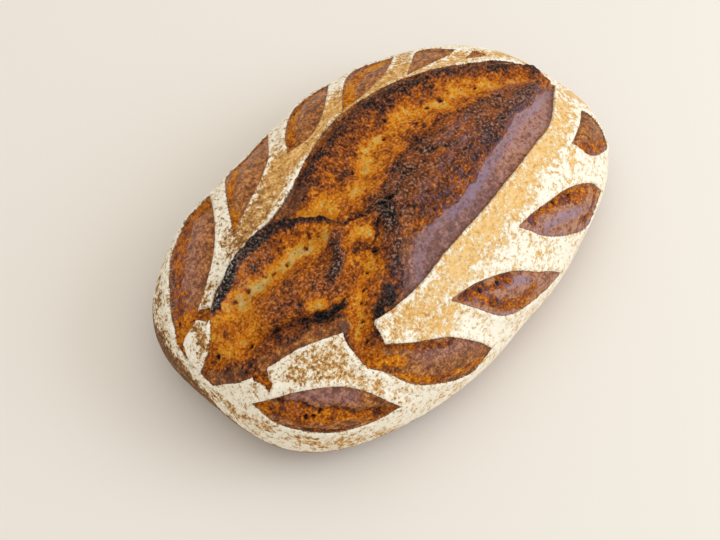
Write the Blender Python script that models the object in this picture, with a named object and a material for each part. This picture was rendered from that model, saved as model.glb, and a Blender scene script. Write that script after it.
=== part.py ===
"""Sourdough loaf: one solid of baked dough, with its leaf cuts, its torn opening and a flat underside.

The form is a domed oval body. Every feature of the crust lies at skin coordinates: millimetres walked along
the crust from the crown, a towards +X (the loaf's length) and b towards +Y (its width).
"""

import bmesh
import bpy
import numpy as np

# The body, in metres
LOAF_LENGTH = 0.298
LOAF_WIDTH = 0.193
LOAF_HEIGHT = 0.093
BELLY_LEVEL = 0.028  # height of the widest line
FOOT_SHARE = 0.80  # the flat underside's size as a share of the widest line
PLAN_SQUARENESS = 2.55  # 2 would be a true ellipse seen from above
DOME_SQUARENESS = 2.3  # 2 would be a true ellipse seen from the side
PLAN_WAVES = ((4, 0.0, -0.021), (5, 0.009, -0.011))  # count, cosine share, sine share

GRID_CELLS = 70  # faces along each side of the grid that becomes the crust
SPACING_STEPS = 200  # steps used to measure how far a point is from the crown
OUTLINE_POINTS = 40  # points along each side of a cut's outline
FOOT_RINGS = (0.93, 0.80)  # rings of the flat underside, as shares of the foot
FOOT_CALM = 0.5  # the relief fades out over this last part of the fall to the foot
METRES = 0.001  # one millimetre

# The crust's low swells, in millimetres: height, waves along a, waves along b, phase (per 100 mm)
SWELLS = ((0.9, 4.1, 1.3, 0.4), (0.7, -2.2, 5.3, 1.9), (0.5, 6.4, 4.7, 3.1))

# Leaf cuts, in skin millimetres. Each has the ends of its chord, how far its left and right edges stand off
# the chord at even stations, how high its belly rises, and where across the leaf (1 left edge, -1 right) its
# tear runs.
LEAVES = {
    "front_curl": ((-151, 20), (-70, 85), (0, 7, 11, 14, 17, 15, 14, 0),
                   (0, -6, -11, -14, -15, -13, -8, 0), 3.0, 0.3),
    "far_first": ((-84, 41), (-10, 101), (0, 6, 13, 20, 11, 0), (0, -5, -10, -11, -6, 0), 3.0, 0.35),
    "far_second": ((-24, 60), (39, 90), (0, 8, 13, 16, 16, 0), (0, -9, -11, -9, -5, 0), 3.0, 0.75),
    "far_third": ((17, 55), (84, 75), (0, 7, 14, 19, 19, 0), (0, -5, -7, -7, -4, 0), 2.6, -0.1),
    "far_fourth": ((64, 47), (112, 47), (0, 6, 12, 18, 17, 0), (0, 0, -1, -2, -2, 0), 2.0, 0.2),
    "far_fifth": ((104, 35), (123, 31), (0, 2, 4, 7, 0), (0, -1, -2, -2, 0), 1.0, 0.2),
    "near_first": ((103, -52), (150, -64), (0, 6, 13, 21, 15, 0), (0, -9, -10, -8, -5, 0), 3.0, 0.1),
    "near_second": ((33, -68), (117, -86), (0, 3, 5, 7, 7, 5, 0), (0, -10, -15, -17, -18, -16, 0), 3.4, 0.5),
    "near_third": ((-28, -72), (58, -112), (0, 4, 6, 6, 3, 2, 0), (0, -9, -18, -20, -16, -9, 0), 3.4, 0.45),
    "near_fourth": ((-85, -62), (-21, -118), (4, 8, 8, 9, 10, 8, 5, 0),
                    (-4, -8, -15, -18, -19, -19, -15, 0), 3.6, 0.7),
    "front_leaf": ((-147, -29), (-90, -97), (0, 3, 7, 10, 12, 11, 6, 0),
                   (0, -10, -14, -16, -16, -13, -8, 0), 4.0, 0.1),
}

# The torn opening along the crown, the branch that runs to the near fourth leaf, and the small tears at its
# front end: chord, left edge, right edge.
OPENING = (
    (-155, 7),
    (138, -15),
    (0, 4, 22, 28, 32, 33, 38, 48, 56, 59, 58, 57, 53, 47, 40, 34, 15),
    (-11, -25, -31, -36, -44, -51, -53, -52, -48, -45, -42, -38, -34, -29, -24, -12, 0),
)
BRANCH = ((-42, -20), (-84, -66), (0, 8, 4, 2, 7, 9), (0, -11, -12, -14, -13, -5))
FRONT_TEAR = ((-154, 8), (-138, 35), (0, 4, 6, 6, 0), (0, 1, 2, -1, 0))
CURL_TEAR = ((-142, 30), (-122, 20), (3, 5, 5, 3), (-3, -4, -5, -3))
SPUR = ((-123, -21), (-134, -35), (0, 2, 2, 3, 0), (0, -6, -7, -2, 0))
ISLAND = ((-153, 8), (-129, 25), (0, 6, 7, 5, 0), (0, -4, -6, -5, 0))  # crust left standing in the opening

# Ridges and hollows of the opening: height in millimetres, half width in millimetres, the line they follow.
RIDGES = (
    (4.5, 7.0, ((133, 3), (122, 12), (104, 20), (82, 31), (58, 39), (30, 45), (2, 44), (-22, 36), (-42, 26))),
    (-3.5, 10.0, ((-40, 21), (-18, 18), (0, 21), (22, 23), (46, 24), (70, 17), (98, 5), (116, -1))),
    (4.0, 11.0, ((-12, -10), (14, -6), (40, -6), (66, -8), (94, -8), (112, -8))),
    (9.0, 5.5, ((-122, 22), (-110, 26), (-96, 30), (-78, 29), (-64, 25), (-52, 17), (-43, 8))),
    (-3.0, 8.0, ((-108, 13), (-92, 9), (-74, 7), (-58, 2), (-48, -4))),
    (4.5, 12.0, ((-106, -5), (-90, -9), (-76, -14), (-64, -20))),
    (-5.0, 4.5, ((-75, -32), (-84, -29), (-98, -18), (-112, -12), (-123, -8))),
    (2.5, 8.0, ((-84, -38), (-104, -28), (-124, -20), (-142, -10))),
    (4.5, 5.5, ((-17, -8), (-24, -20), (-31, -35), (-40, -46))),
    (-4.5, 5.5, ((-40, -24), (-52, -30), (-64, -38), (-76, -50), (-84, -62))),
    (2.5, 4.5, ((-46, -3), (-56, -14), (-66, -25))),
    (3.5, 9.0, ((-40, -6), (-32, -14))),
)
# The edge of the burst dough in the opening's long half: it stands this high over the smooth band there.
STEP_HEIGHT = 3.0
STEP_LINE = ((134, -12), (114, -16), (88, -18), (71, -24), (47, -29), (23, -35), (-3, -35), (-23, -31))
STEP_WIDTH = 4.0
STEP_REACH = 26.0  # how far the raised dough reaches from the line before it settles
STEP_BEGINS = -30.0  # skin coordinate along the loaf where the step rises out of the knot
STEP_RISES = 20.0  # and the length over which it does
OPENING_SINK = 2.0  # the opening lies this much lower than the crust beside it
OPENING_LIP = 2.0  # crust lifted along an edge
LEAF_LIP = 1.4
LIP_REACH = 6.0
LEAF_BLEND = 3.0  # distance over which a leaf that meets the opening runs into it
LEAF_SINK = 2.4  # a leaf starts this much below its lifted edge
TEAR_DEPTH = 3.0
TEAR_WIDTH = 0.3  # share of the leaf's half width
EDGE_WIDTH = 4.0  # distance over which the crust's edge falls away


def flowing(values, count):
    """Catmull-Rom curve through even stations, read at count even places."""
    values = np.asarray(values, float)
    at = np.linspace(0, len(values) - 1, count)
    k = np.minimum(at.astype(int), len(values) - 2)
    u = at - k
    before = values[np.maximum(k - 1, 0)]
    start, end = values[k], values[k + 1]
    after = values[np.minimum(k + 2, len(values) - 1)]
    bend = 2 * before - 5 * start + 4 * end - after
    turn = 3 * (start - end) + after - before
    return 0.5 * (2 * start + (end - before) * u + bend * u**2 + turn * u**3)


def chord_frame(start, end):
    """Length of a chord, the direction along it and the direction to its left."""
    span = np.subtract(end, start).astype(float)
    length = np.hypot(*span)
    along = span / length
    return length, along, np.array((-along[1], along[0]))


def cut_outline(cut):
    """Closed outline of a cut: out along its left edge and back along its right one."""
    start, end, left, right = cut[:4]
    length, along, across = chord_frame(start, end)
    chord = np.array(start) + np.outer(np.linspace(0, length, OUTLINE_POINTS), along)
    out = chord + np.outer(flowing(left, OUTLINE_POINTS), across)
    back = chord + np.outer(flowing(right, OUTLINE_POINTS), across)
    return np.vstack((out, back[::-1]))


def line_distance(points, line, closed=False):
    """Distance from each point to a line of straight stretches."""
    line = np.asarray(line, float)
    starts = line if closed else line[:-1]
    ends = np.roll(line, -1, axis=0) if closed else line[1:]
    nearest = np.full(len(points), np.inf)
    for start, end in zip(starts, ends):
        span = end - start
        share = np.clip((points - start) @ span / max(span @ span, 1e-9), 0, 1)
        gap = points - start - share[:, None] * span
        nearest = np.minimum(nearest, np.hypot(gap[:, 0], gap[:, 1]))
    return nearest


def depth_inside(points, outline):
    """Signed distance to a closed outline, positive inside it."""
    inside = np.zeros(len(points), bool)
    for start, end in zip(outline, np.roll(outline, -1, axis=0)):
        if start[1] == end[1]:
            continue
        crosses = (start[1] > points[:, 1]) != (end[1] > points[:, 1])
        share = (points[:, 1] - start[1]) / (end[1] - start[1])
        inside ^= crosses & (points[:, 0] < start[0] + share * (end[0] - start[0]))
    return line_distance(points, outline, closed=True) * np.where(inside, 1, -1)


def across_cut(points, cut):
    """Place along a cut, 0 to 1, and across it, 1 at the left edge and -1 at the right."""
    start, end, left, right = cut[:4]
    length, along, across = chord_frame(start, end)
    offset = points - np.array(start)
    at = np.clip(offset @ along / length, 0, 1)
    side = offset @ across
    stations = np.linspace(0, 1, OUTLINE_POINTS)
    left_edge = np.interp(at, stations, flowing(left, OUTLINE_POINTS))
    right_edge = np.interp(at, stations, flowing(right, OUTLINE_POINTS))
    half = np.maximum((left_edge - right_edge) / 2, 1.0)
    return at, (side - (left_edge + right_edge) / 2) / half


def ease(value):
    """Smooth step from 0 to 1."""
    value = np.clip(value, 0, 1)
    return value * value * (3 - 2 * value)


def plan_radius(theta):
    """Distance of the widest line from the axis: a squared-off ellipse with slow waves."""
    cosine = np.abs(np.cos(theta) / (LOAF_LENGTH / 2)) ** PLAN_SQUARENESS
    sine = np.abs(np.sin(theta) / (LOAF_WIDTH / 2)) ** PLAN_SQUARENESS
    waves = 1.0
    for count, cos_share, sin_share in PLAN_WAVES:
        waves = waves + cos_share * np.cos(count * theta) + sin_share * np.sin(count * theta)
    return (cosine + sine) ** (-1 / PLAN_SQUARENESS) * waves


def body_point(theta, fall):
    """Point of the smooth body: fall runs from 0 at the crown to 1 on the widest line and 2 at the foot."""
    upper = np.clip(fall, 0, 1) * np.pi / 2
    lower = np.clip(fall - 1, 0, 1) * np.pi / 2
    power = 2 / DOME_SQUARENESS
    share = np.where(fall <= 1, np.sin(upper) ** power, FOOT_SHARE + (1 - FOOT_SHARE) * np.cos(lower))
    dome = BELLY_LEVEL + (LOAF_HEIGHT - BELLY_LEVEL) * np.maximum(np.cos(upper), 0) ** power
    height = np.where(fall <= 1, dome, BELLY_LEVEL * (1 - np.sin(lower)))
    radius = plan_radius(theta) * share
    return np.stack((radius * np.cos(theta), radius * np.sin(theta), height), axis=-1)


def walked(theta, fall):
    """Distance along the crust from the crown to each point."""
    steps = np.linspace(0, 1, SPACING_STEPS)
    path = body_point(theta[:, None], fall[:, None] * steps[None, :])
    return np.linalg.norm(np.diff(path, axis=1), axis=2).sum(axis=1)


def body_normal(theta, fall):
    """Outward direction of the smooth body, from how it changes with its two parameters."""
    small = 1e-4
    round_it = body_point(theta + small, fall) - body_point(theta - small, fall)
    lower = body_point(theta, np.minimum(fall + small, 2))
    down_it = lower - body_point(theta, np.maximum(fall - small, 0))
    normal = np.cross(down_it, round_it)
    normal[fall < small] = (0, 0, 1)
    return normal / np.linalg.norm(normal, axis=1, keepdims=True)


def grid_to_disc(u, v):
    """Square grid laid on a disc without squeezing: angle and share of the way from centre to rim."""
    wide = np.abs(u) > np.abs(v)
    share = np.where(wide, u, v)
    safe_u = np.where(u == 0, 1, u)
    safe_v = np.where(v == 0, 1, v)
    theta = np.where(wide, np.pi / 4 * v / safe_u, np.pi / 2 - np.pi / 4 * u / safe_v)
    return np.where(share < 0, theta + np.pi, theta), np.abs(share)


def even_fall(share):
    """Turns an even share of the walk down a mean meridian into the body's fall parameter."""
    fall = np.linspace(0, 2, SPACING_STEPS)
    far = walked(np.full(SPACING_STEPS, np.pi / 4), fall)
    return np.interp(share, far / far[-1], fall)


def leaf_relief(points, leaf):
    """Depth inside a leaf cut, and its relief: a low sunken belly with a tear along it."""
    belly, tear = leaf[4:]
    depth = depth_inside(points, cut_outline(leaf))
    at, side = across_cut(points, leaf)
    swell = belly * np.sqrt(np.clip(1 - side**2, 0, 1)) * np.sin(np.pi * at) ** 0.5
    torn = -TEAR_DEPTH * np.exp(-(((side - tear) / TEAR_WIDTH) ** 2)) * np.sin(np.pi * at)
    return depth, ease(depth / EDGE_WIDTH) * (swell + torn - LEAF_SINK)


def opening_relief(points):
    """Depth inside the torn opening, and its relief: sunk, with ridges, hollows and the burst dough."""
    depth = depth_inside(points, cut_outline(OPENING))
    for cut in (BRANCH, FRONT_TEAR, CURL_TEAR, SPUR):
        depth = np.maximum(depth, depth_inside(points, cut_outline(cut)))
    depth = np.minimum(depth, -depth_inside(points, cut_outline(ISLAND)))
    height = np.full(len(points), -OPENING_SINK)
    for rise, half_width, line in RIDGES:
        height += rise * np.exp(-((line_distance(points, line) / half_width) ** 2))
    from_step = line_distance(points, STEP_LINE)
    line = np.array(STEP_LINE, float)
    level = np.interp(points[:, 0], line[::-1, 0], line[::-1, 1])
    burst = ease(from_step / STEP_WIDTH) * np.exp(-((from_step / STEP_REACH) ** 2))
    along = ease((points[:, 0] - STEP_BEGINS) / STEP_RISES)
    height += STEP_HEIGHT * np.where(points[:, 1] > level, burst * along, 0)
    return depth, ease(depth / EDGE_WIDTH) * height


def cut_relief(points):
    """The relief of all the cuts, with the crust lifted along their edges."""
    depth, relief = opening_relief(points)
    lip = np.full(len(points), OPENING_LIP)
    for leaf in LEAVES.values():
        leaf_depth, height = leaf_relief(points, leaf)
        relief += ease((leaf_depth - depth) / LEAF_BLEND + 0.5) * (height - relief)
        lip = np.where(leaf_depth > depth, LEAF_LIP, lip)
        depth = np.maximum(depth, leaf_depth)
    away = np.minimum(depth, 0) / LIP_REACH
    return relief + lip * np.exp(-(away**2)) * (1 - ease(depth / EDGE_WIDTH))


def swells(points):
    """Low, slow unevenness of the whole crust."""
    height = np.zeros(len(points))
    for rise, along, across, phase in SWELLS:
        height += rise * np.sin((points[:, 0] * along + points[:, 1] * across) / 100 + phase)
    return height


def crust_mesh():
    """The crust: a grid laid over the body, pushed out and in by the relief, closed by a flat underside."""
    mesh = bpy.data.meshes.new("loaf")
    bm = bmesh.new()
    bmesh.ops.create_grid(bm, x_segments=GRID_CELLS, y_segments=GRID_CELLS, size=1.0)
    flat = np.array([vert.co[:2] for vert in bm.verts])
    theta, share = grid_to_disc(flat[:, 0], flat[:, 1])
    fall = even_fall(share)
    far = walked(theta, fall) / METRES
    points = np.stack((far * np.cos(theta), far * np.sin(theta)), axis=1)
    height = (swells(points) + cut_relief(points)) * ease((2 - fall) / FOOT_CALM)
    place = body_point(theta, fall) + body_normal(theta, fall) * (height * METRES)[:, None]
    place[share > 1 - 1e-6, 2] = 0
    for vert, co in zip(bm.verts, place):
        vert.co = co
    close_underside(bm)
    centre_on_box(bm)
    bmesh.ops.recalc_face_normals(bm, faces=bm.faces)
    bm.to_mesh(mesh)
    bm.free()
    return mesh


def close_underside(bm):
    """Carries the open rim inwards in rings over the flat underside and fills the last one."""
    rim = [edge for edge in bm.edges if edge.is_boundary]
    grown = 1.0
    for ring in FOOT_RINGS:
        made = bmesh.ops.extrude_edge_only(bm, edges=rim)["geom"]
        for vert in (item for item in made if isinstance(item, bmesh.types.BMVert)):
            vert.co.x *= ring / grown
            vert.co.y *= ring / grown
        rim = [item for item in made if isinstance(item, bmesh.types.BMEdge) and item.is_boundary]
        grown = ring
    bmesh.ops.contextual_create(bm, geom=rim)


def centre_on_box(bm):
    """Puts the middle of the loaf's footprint box at the origin."""
    place = np.array([vert.co for vert in bm.verts])
    middle = (place.max(axis=0) + place.min(axis=0)) / 2
    bmesh.ops.translate(bm, verts=bm.verts, vec=(-middle[0], -middle[1], -place[:, 2].min()))


def crust_material():
    """Matte baked crust under a dusting of flour."""
    material = bpy.data.materials.new("crust")
    material.use_nodes = True
    shader = material.node_tree.nodes["Principled BSDF"]
    shader.inputs["Base Color"].default_value = (0.56, 0.36, 0.17, 1)
    shader.inputs["Roughness"].default_value = 0.75
    shader.inputs["Metallic"].default_value = 0.0
    return material


def main():
    for thing in list(bpy.data.objects):
        bpy.data.objects.remove(thing, do_unlink=True)
    mesh = crust_mesh()
    mesh.materials.append(crust_material())
    mesh.shade_smooth()
    loaf = bpy.data.objects.new("loaf", mesh)
    bpy.context.scene.collection.objects.link(loaf)


main()
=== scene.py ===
"""The look of the sourdough loaf: its floured crust, leaf cuts and torn opening, under a soft window light.

The crust's features lie at skin coordinates: millimetres walked along the crust from the crown, a towards +X
(the loaf's length) and b towards +Y (its width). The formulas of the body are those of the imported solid.
"""

import math

import bpy
import numpy as np
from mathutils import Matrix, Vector

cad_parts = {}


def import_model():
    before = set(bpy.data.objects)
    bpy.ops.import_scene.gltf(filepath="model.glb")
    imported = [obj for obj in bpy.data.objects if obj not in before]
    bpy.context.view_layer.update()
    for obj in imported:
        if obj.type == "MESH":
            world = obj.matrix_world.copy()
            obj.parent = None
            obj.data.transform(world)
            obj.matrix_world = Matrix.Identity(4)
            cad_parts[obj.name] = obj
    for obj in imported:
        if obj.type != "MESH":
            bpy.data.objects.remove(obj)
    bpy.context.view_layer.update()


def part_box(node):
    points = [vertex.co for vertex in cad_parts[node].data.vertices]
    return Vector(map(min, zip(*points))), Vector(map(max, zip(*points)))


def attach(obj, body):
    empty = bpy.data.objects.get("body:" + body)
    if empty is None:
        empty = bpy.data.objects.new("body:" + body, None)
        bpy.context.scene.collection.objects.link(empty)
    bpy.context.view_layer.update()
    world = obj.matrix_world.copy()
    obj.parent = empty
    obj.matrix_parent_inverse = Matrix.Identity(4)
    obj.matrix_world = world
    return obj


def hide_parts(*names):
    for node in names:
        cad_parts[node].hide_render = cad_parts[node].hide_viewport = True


# The body, in metres
LOAF_LENGTH = 0.298
LOAF_WIDTH = 0.193
LOAF_HEIGHT = 0.093
BELLY_LEVEL = 0.028  # height of the widest line
FOOT_SHARE = 0.80  # the flat underside's size as a share of the widest line
PLAN_SQUARENESS = 2.55
DOME_SQUARENESS = 2.3
PLAN_WAVES = ((4, 0.0, -0.021), (5, 0.009, -0.011))  # count, cosine share, sine share

CELLS_ALONG = 312  # faces along each side of the grid that becomes the crust
CELLS_ACROSS = 288
FINER_ALONG = 0.82  # spacing at the crown as a share of the mean spacing
FINER_ACROSS = 0.62
WALK_STEPS = 90  # steps used to measure how far a point is from the crown
FALL_STATIONS = 400  # places down a meridian at which that walk is tabled
PROBE = 1e-4  # step in the body's two parameters from which its slope is found
OUTLINE_POINTS = 40
FOOT_RINGS = (0.985, 0.955, 0.80, 0.45)  # rings of the underside, as shares of the foot's edge
FOOT_CALM = 0.5  # the relief fades out over this last part of the fall to the foot
METRES = 0.001

# Slow unevenness: rise in millimetres, swing along and across over the span, phase
SWELLS = ((0.9, 4.1, 1.3, 0.4), (0.7, -2.2, 5.3, 1.9), (0.5, 6.4, 4.7, 3.1))
SWELL_SPAN = 100

# Noise on the crust: size of its lumps in millimetres, seed, layers and how much each finer layer counts
WOBBLE = (9.0, 11, 2)
WOBBLE_ACROSS = (7.0, 31, 2)
RAGGED = (2.6, 21, 2)
RAGGED_ACROSS = (2.4, 35, 2)
CRAGS = (4.6, 41, 3, 0.6)
CRUMB = (2.2, 51, 2, 0.7)
DENTS = (6.0, 61, 3)
PATCHES = (6.5, 71, 4, 0.65)
# How far that noise carries the lines of torn dough (bend) and of smooth skin (drift) off their places
BEND_SLOW = 2.4
BEND_QUICK = 1.3
DRIFT_SLOW = 1.5
DRIFT_QUICK = 0.35
# Raggedness of the edges in millimetres
OPENING_RAGGED = 0.4
LEAF_RAGGED = 0.15
ISLAND_RAGGED = 0.5

# Leaf cuts: the chord's two ends, the left and right edges off the chord at even stations, the belly's height
# and the tone of its skin (0 rosy, 1 dark)
LEAVES = {
    "front_curl": ((-151, 20), (-70, 85), (0, 7, 11, 14, 17, 15, 14, 0), (0, -6, -11, -14, -15, -13, -8, 0),
                   3.0, 0.60),
    "far_first": ((-84, 41), (-10, 101), (0, 6, 13, 20, 11, 0), (0, -5, -10, -11, -6, 0), 3.0, 0.60),
    "far_second": ((-24, 60), (39, 90), (0, 8, 13, 16, 16, 0), (0, -9, -11, -9, -5, 0), 3.0, 0.64),
    "far_third": ((17, 55), (84, 75), (0, 7, 14, 19, 19, 0), (0, -5, -7, -7, -4, 0), 2.6, 0.62),
    "far_fourth": ((64, 47), (112, 47), (0, 6, 12, 18, 17, 0), (0, 0, -1, -2, -2, 0), 2.0, 0.60),
    "far_fifth": ((104, 35), (123, 31), (0, 2, 4, 7, 0), (0, -1, -2, -2, 0), 1.0, 0.60),
    "near_first": ((103, -52), (150, -64), (0, 6, 13, 21, 15, 0), (0, -9, -10, -8, -5, 0), 3.0, 0.66),
    "near_second": ((33, -68), (117, -86), (0, 3, 5, 7, 7, 5, 0), (0, -10, -15, -17, -18, -16, 0), 3.4, 0.48),
    "near_third": ((-28, -72), (58, -112), (0, 4, 6, 6, 3, 2, 0), (0, -9, -18, -20, -16, -9, 0), 3.4, 0.50),
    "near_fourth": ((-85, -62), (-21, -118), (4, 8, 8, 9, 10, 8, 5, 0), (-4, -8, -15, -18, -19, -19, -15, 0),
                    3.6, 0.66),
    "front_leaf": ((-147, -29), (-90, -97), (0, 3, 7, 10, 12, 11, 6, 0), (0, -10, -14, -16, -16, -13, -8, 0),
                   4.0, 0.66),
}
OPENING = (
    (-155, 7),
    (138, -15),
    (0, 4, 20, 26, 30, 32, 38, 48, 56, 59, 58, 57, 53, 47, 40, 34, 15),
    (-11, -25, -31, -36, -44, -51, -53, -52, -48, -45, -42, -38, -34, -29, -24, -12, 0),
)
BRANCH = ((-42, -20), (-84, -66), (0, 8, 4, 2, 7, 9), (0, -11, -12, -14, -13, -5))
FRONT_TEAR = ((-154, 8), (-138, 35), (0, 4, 6, 6, 0), (0, 1, 2, -1, 0))
CURL_TEAR = ((-142, 30), (-122, 20), (3, 5, 5, 3), (-3, -4, -5, -3))
SPUR = ((-123, -21), (-134, -35), (0, 2, 2, 3, 0), (0, -6, -7, -2, 0))
# Crust left standing in the opening
ISLAND = ((-153, 10), (-129, 22), (3, 8, 10, 7, 3), (-2, -4, -6, -5, -3))

EAR = (
    (-121, 19), (-116, 20), (-110, 22), (-103, 24), (-95, 26.5), (-86, 27.5), (-75, 27), (-66, 25), (-58, 21),
    (-50, 15), (-43, 8),
)
EAR_HEIGHT = 8.5
EAR_END_SHARE = 0.55  # its height at the start as a share of the middle's
EAR_TAIL = 0.9  # from this share of its length on it gets no lower
EAR_OUTER = 2.0  # half widths of the ear's steep outer and slow inner side
EAR_INNER = 7.0
EAR_RAGGED = 0.9
EAR_LEAN = 2.2  # how far its edge hangs over outwards
EAR_RIM = 3.0  # half width of what leans, and how far its middle lies inwards
EAR_RIM_INWARDS = 0.5
EAR_TONE = 0.94
EAR_BLACK = 1.7  # half width of the charred part at the ends, and what the middle adds to it
EAR_BLACK_MORE = 1.5
EAR_BLACK_INWARDS = 0.7
EAR_BLACK_RAGGED = 0.6
EAR_BLACK_SOFT = 1.2

# What runs through the opening: rise in millimetres, how much darker (or paler) it is (the bake, and painted
# shade in the crease, slits, seams, grooves, divide, shaded pocket and channel wall), half width in
# millimetres, edge (2 soft, 4 flat-topped), line
STROKES = {
    "char lip": (4.5, 0.0, 7, 2, ((133, 3), (122, 12), (104, 20), (82, 31), (58, 39), (30, 45), (2, 44),
                                  (-22, 36), (-42, 26))),
    "char edge": (0.0, 0.32, 8, 2, ((133, 3), (122, 13), (104, 22), (82, 33), (58, 41), (30, 47), (2, 46),
                                    (-22, 38), (-38, 30))),
    "edge band": (0.0, 0.26, 6, 4, ((-70, 36), (-58, 33), (-48, 30), (-40, 33))),
    "char corner": (0.0, -0.12, 8, 2, ((-4, 40), (-20, 33), (-34, 28))),
    "golden hollow": (-3.0, -0.06, 11, 2, ((-40, 21), (-18, 16), (0, 20), (22, 24), (46, 25), (70, 17),
                                           (98, 6), (116, 0))),
    "burst edge": (0.0, 0.16, 5, 2, ((116, -10), (99, -14), (80, -17), (58, -22), (35, -27), (9, -29),
                                     (-10, -27))),
    "gold low": (0.0, -0.17, 8, 2, ((-44, 20), (-32, 17), (-20, 12), (-9, 12), (0, 18), (9, 24))),
    "gold mid": (-0.8, -0.05, 6, 2, ((4, 22), (12, 25), (21, 27), (34, 27), (45, 26))),
    "gold high": (-0.8, -0.12, 5, 2, ((45, 26), (54, 22), (66, 18), (77, 16), (90, 11), (107, 5), (120, 0))),
    "gold branch": (0.0, -0.10, 3.5, 2, ((71, 33), (74, 25), (82, 20), (96, 16), (111, 11))),
    "brown stripe": (1.0, 0.22, 6, 2, ((-27, 22), (-15, 22), (-1, 29), (15, 34), (32, 36))),
    "burst": (3.5, 0.15, 15, 4, ((-14, -12), (14, -9), (40, -8), (66, -9), (94, -8), (108, -8))),
    "burst fold": (1.8, 0.05, 5, 2, ((-10, -26), (12, -24), (36, -21), (60, -16))),
    # The seam, groove and slit below are darker as painted shade
    "burst seam": (-2.0, 0.16, 2.0, 2, ((-18, -4), (2, 0), (22, 6), (44, 9), (66, 6), (88, -1))),
    "burst groove": (-1.5, 0.14, 2.4, 2, ((-15, -10), (-4, -8), (9, -7), (22, -7))),
    "burst slit": (-1.8, 0.22, 1.8, 2, ((25, 0), (34, -7), (42, -11))),
    "tip": (0.0, 0.04, 8, 2, ((120, -4), (134, -8))),
    "ear lee": (0.0, 0.09, 7, 2, ((-119, 18), (-108, 20), (-96, 22), (-84, 22), (-72, 21), (-62, 17),
                                  (-52, 10))),
    "pale hollow": (-3.0, -0.12, 8, 2, ((-112, 13), (-98, 12), (-88, 10), (-76, 9), (-66, 8), (-56, 4),
                                        (-50, 1))),
    "pale": (-0.8, -0.34, 5.0, 2, ((-108, 14), (-98, 13), (-88, 10), (-76, 9), (-66, 8), (-56, 4), (-49, 3))),
    "orange end": (0.0, -0.13, 12, 4, ((-124, 12), (-130, 4), (-122, -2), (-108, 2))),
    "orange low": (0.0, -0.06, 7, 2, ((-140, 2), (-132, -6), (-120, -12))),
    "bulge": (4.5, 0.10, 10, 4, ((-100, -6), (-88, -8), (-76, -13), (-66, -19))),
    "bulge fold": (1.6, 0.06, 2.6, 2, ((-84, -3), (-78, -11), (-76, -20), (-77, -27))),
    # The crease, its black near end and its tail are darker as painted shade in the gap
    "crease": (-4.0, 0.15, 3.4, 2, ((-72, -33), (-84, -29), (-93, -22), (-100, -17), (-112, -12),
                                    (-123, -8))),
    "crease shadow": (-0.5, 0.45, 2.7, 4, ((-72, -32), (-78, -30), (-85, -27))),
    "crease tail": (-1.0, 0.10, 2.2, 2, ((-85, -27), (-93, -22), (-101, -17), (-110, -13))),
    "tan spot": (0.6, -0.26, 2.2, 4, ((-84, -20), (-80, -24), (-77, -28))),
    "apron": (2.5, 0.19, 8, 4, ((-84, -38), (-104, -28), (-124, -20), (-142, -10))),
    # The divide is darker as painted shade
    "divide": (-2.5, 0.30, 1.5, 2, ((-42, 7), (-37, 1), (-31, -2), (-26, -5), (-18, -7), (-8, -8))),
    "knot": (3.5, -0.07, 8, 4, ((-40, -5), (-36, -11), (-30, -12))),
    "knot pale": (0.4, -0.30, 3.0, 4, ((-37, -11), (-33, -14))),
    # The knot's slit is darker as painted shade
    "knot slit": (-1.2, 0.34, 1.2, 2, ((-46, -16), (-40, -20), (-31, -20), (-25, -14))),
    "wall ridge": (3.0, 0.34, 3.2, 4, ((-46, -3), (-50, -7), (-53, -12), (-58, -16), (-64, -19))),
    "crumb ridge": (4.0, 0.33, 5, 4, ((-18, -13), (-21, -17), (-25, -24), (-28, -32), (-33, -39),
                                      (-38, -44))),
    "channel": (-4.0, -0.01, 7, 2, ((-40, -24), (-52, -30), (-64, -38), (-76, -50), (-84, -62))),
    "channel pale": (-0.6, -0.22, 2.4, 2, ((-42, -26), (-50, -30), (-58, -34), (-65, -39), (-72, -46),
                                           (-79, -54))),
    # The pocket and the channel's wall are darker as painted shade on the wall's shaded side
    "shaded pocket": (1.5, 0.48, 4.2, 4, ((-48, -46), (-53, -47), (-58, -48), (-63, -51))),
    "channel wall": (1.0, 0.26, 3, 2, ((-62, -51), (-69, -56), (-74, -62))),
    "neck": (1.5, 0.16, 4, 2, ((-80, -38), (-85, -48), (-90, -56))),
    "front bulge": (2.5, 0.15, 7.0, 4, ((-152, -2), (-146, -10), (-138, -15))),
}
BAKE = 0.49  # tone of the opening away from any line
BAND_TONE = 0.80  # tone of the smooth band beside the burst dough
BAND_PALER = 0.31  # how much paler it is at its lit end: painted light
BAND_LIT_FROM = 25.0  # where along the loaf it starts to pale, and over what length
BAND_LIT_OVER = 50.0
BAND_BEGINS = -62.0  # where along the loaf the band begins, and over what length
BAND_RISES = 6.0
BAND_RAGGED = 1.2
BAND_SOFT = 2.8
PLAIN_GRAIN = 0.28  # share of granules, whose crests get a painted grey highlight, away from any line
SPOT_PALER = 0.16  # how much paler the spots of crumb are
# Where the dough's skin stayed smooth in the opening: share, half width in millimetres, line
SMOOTH = (
    (0.9, 6.0, ((-151, -2), (-146, -10), (-138, -15))),
    (0.9, 5.0, ((-80, -40), (-98, -33), (-112, -28), (-122, -24))),
    (1.0, 4.5, STROKES["edge band"][-1]),
    (1.0, 1.6, ((-40, 38), (-27, 46), (-8, 51), (18, 53), (42, 50), (66, 43), (92, 32), (114, 21), (130, 7))),
)
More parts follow.
